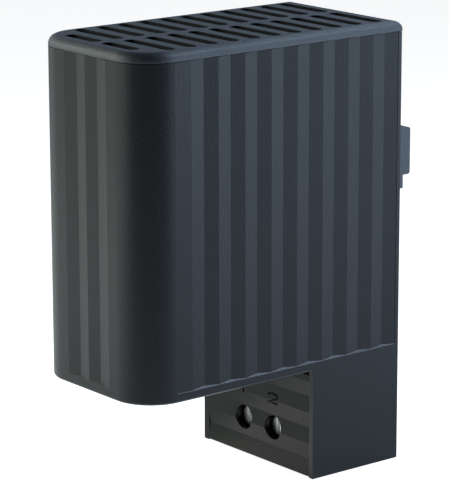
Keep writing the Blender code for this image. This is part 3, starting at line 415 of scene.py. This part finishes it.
def make_lights():
    """Cool window light from the right and the back, neutral light from the front left."""
    # Name, azimuth in degrees, height and distance in metres, power in watts, colour
    boxes = (
        ("right_low", 30, 0.03, 0.30, 0.126, WINDOW),
        ("right_middle", 45, 0.10, 0.30, 0.178, WINDOW),
        ("rear_low", 60, 0.00, 0.28, 0.106, WINDOW),
        ("rear_high", 60, 0.30, 0.28, 0.560, WINDOW),
        ("rear_left_high", 110, 0.25, 0.30, 0.220, WINDOW),
        ("front_low", 250, 0.00, 0.30, 0.110, LAMP),
        ("front_left_low", 205, 0.00, 0.28, 0.070, LAMP),
        ("front_left_high", 205, 0.15, 0.28, 0.060, LAMP),
        ("front_high", 235, 0.15, 0.30, 0.200, LAMP),
        ("left_high", 185, 0.15, 0.28, 0.075, LAMP),
    )
    for box in boxes:
        softbox(*box)
    # One small box hangs over the table at the front left and lights only the paper
    table = softbox("table", 225, 0.08, 0.19, 0.130, LAMP, 0.15)
    table.rotation_euler = (0.0, 0.0, 0.0)


def make_world():
    """A soft patch of wall at the back left lights the heater. The camera sees plain white."""
    wall, focus, bright, rest = towards(150, 10), 14.0, 0.50, 0.01
    world = bpy.data.worlds.new("studio")
    bpy.context.scene.world = world
    world.use_nodes = True
    tree = world.node_tree
    tree.nodes.clear()
    view = add(tree, "ShaderNodeTexCoord").outputs["Generated"]
    facing = add(tree, "ShaderNodeVectorMath", {0: view, 1: tuple(wall)}, operation="DOT_PRODUCT")
    ahead = add(tree, "ShaderNodeMath", {0: facing.outputs["Value"], 1: 0.0}, operation="MAXIMUM")
    falloff = add(tree, "ShaderNodeMath", {0: ahead.outputs[0], 1: focus}, operation="POWER")
    patch = add(tree, "ShaderNodeMath", {0: falloff.outputs[0], 1: bright, 2: rest},
                operation="MULTIPLY_ADD")
    room = add(tree, "ShaderNodeBackground", {"Color": linear(WINDOW), "Strength": patch.outputs[0]})
    white = add(tree, "ShaderNodeBackground", {"Color": linear(WHITE), "Strength": 1.0})
    path = add(tree, "ShaderNodeLightPath")
    seen = add(tree, "ShaderNodeMath",
               {0: path.outputs["Is Camera Ray"], 1: path.outputs["Is Transmission Ray"]},
               operation="MAXIMUM")
    mix = add(tree, "ShaderNodeMixShader", {0: seen.outputs[0], 1: room.outputs[0], 2: white.outputs[0]})
    add(tree, "ShaderNodeOutputWorld", {"Surface": mix.outputs[0]})


def white_paper():
    """Matt white paper. It looks white to the camera, in part also in gloss, and keeps the
    heater's shadow. Under the body it glows brighter in gloss, a painted reflection on the heater's
    lower edges."""
    material, tree, shader, place = start_material("matt_white_paper", 0.9)
    fibres = add(tree, "ShaderNodeTexNoise", {"Vector": place, "Scale": 1 / (2 * MM), "Detail": 2.0})
    colour_between(tree, shader, fibres.outputs["Fac"], "#f2f2f2", "#f5f5f5")
    path = add(tree, "ShaderNodeLightPath")
    mirror = add(tree, "ShaderNodeMath",
                 {0: path.outputs["Is Glossy Ray"], 1: path.outputs["Is Transmission Ray"]},
                 operation="MAXIMUM")
    # The part of the paper under the body is a round patch that fades out at its rim. In gloss it glows
    # brighter there: a painted reflection on the heater's lower edges, screws and cover
    half_width, half_depth, centre_y, fade = 30.0, 38.0, -50.0, 0.35
    patch = add(tree, "ShaderNodeMapping",
                {"Vector": place, "Location": (0.0, -centre_y / half_depth, 0.0),
                 "Scale": (1 / (half_width * MM), 1 / (half_depth * MM), 0.0)})
    depth = add(tree, "ShaderNodeTexGradient", {"Vector": patch.outputs["Vector"]},
                gradient_type="SPHERICAL")
    share = add(tree, "ShaderNodeMapRange", {"Value": depth.outputs["Fac"], "From Max": fade,
                                             "To Min": MIRROR_GLOW, "To Max": UNDER_BODY_PAINTED_REFLECTION})
    part = add(tree, "ShaderNodeMath", {0: mirror.outputs[0], 1: share.outputs["Result"]},
               operation="MULTIPLY")
    strength = add(tree, "ShaderNodeMath",
                   {0: path.outputs["Is Camera Ray"], 1: CAMERA_GLOW, 2: part.outputs[0]},
                   operation="MULTIPLY_ADD")
    lit = add(tree, "ShaderNodeEmission", {"Color": linear(WHITE), "Strength": strength.outputs[0]})
    both = add(tree, "ShaderNodeAddShader", {0: shader.outputs[0], 1: lit.outputs[0]})
    tree.links.new(both.outputs[0], tree.nodes["Material Output"].inputs["Surface"])
    return material


def make_floor():
    """Large flat sheet under the heater, just clear of its base so that they share no plane."""
    low = cad_box[0].z - FLOOR_CLEARANCE
    bm = bmesh.new()
    corners = [bm.verts.new((x * FLOOR_REACH, y * FLOOR_REACH, low))
               for x, y in ((-1, -1), (1, -1), (1, 1), (-1, 1))]
    bm.faces.new(corners)
    mesh = bpy.data.meshes.new("studio_floor")
    bm.to_mesh(mesh)
    bm.free()
    mesh.materials.append(white_paper())
    floor = bpy.data.objects.new("studio_floor", mesh)
    bpy.context.scene.collection.objects.link(floor)


bpy.context.scene.view_settings.view_transform = "Standard"
set_up_camera()
finish = make_materials()
dress_solids(finish)
dress_housing(finish)
dress_cap(finish)
dress_cover(finish)
dress_clip(finish)
make_floor()
make_world()
make_lights()
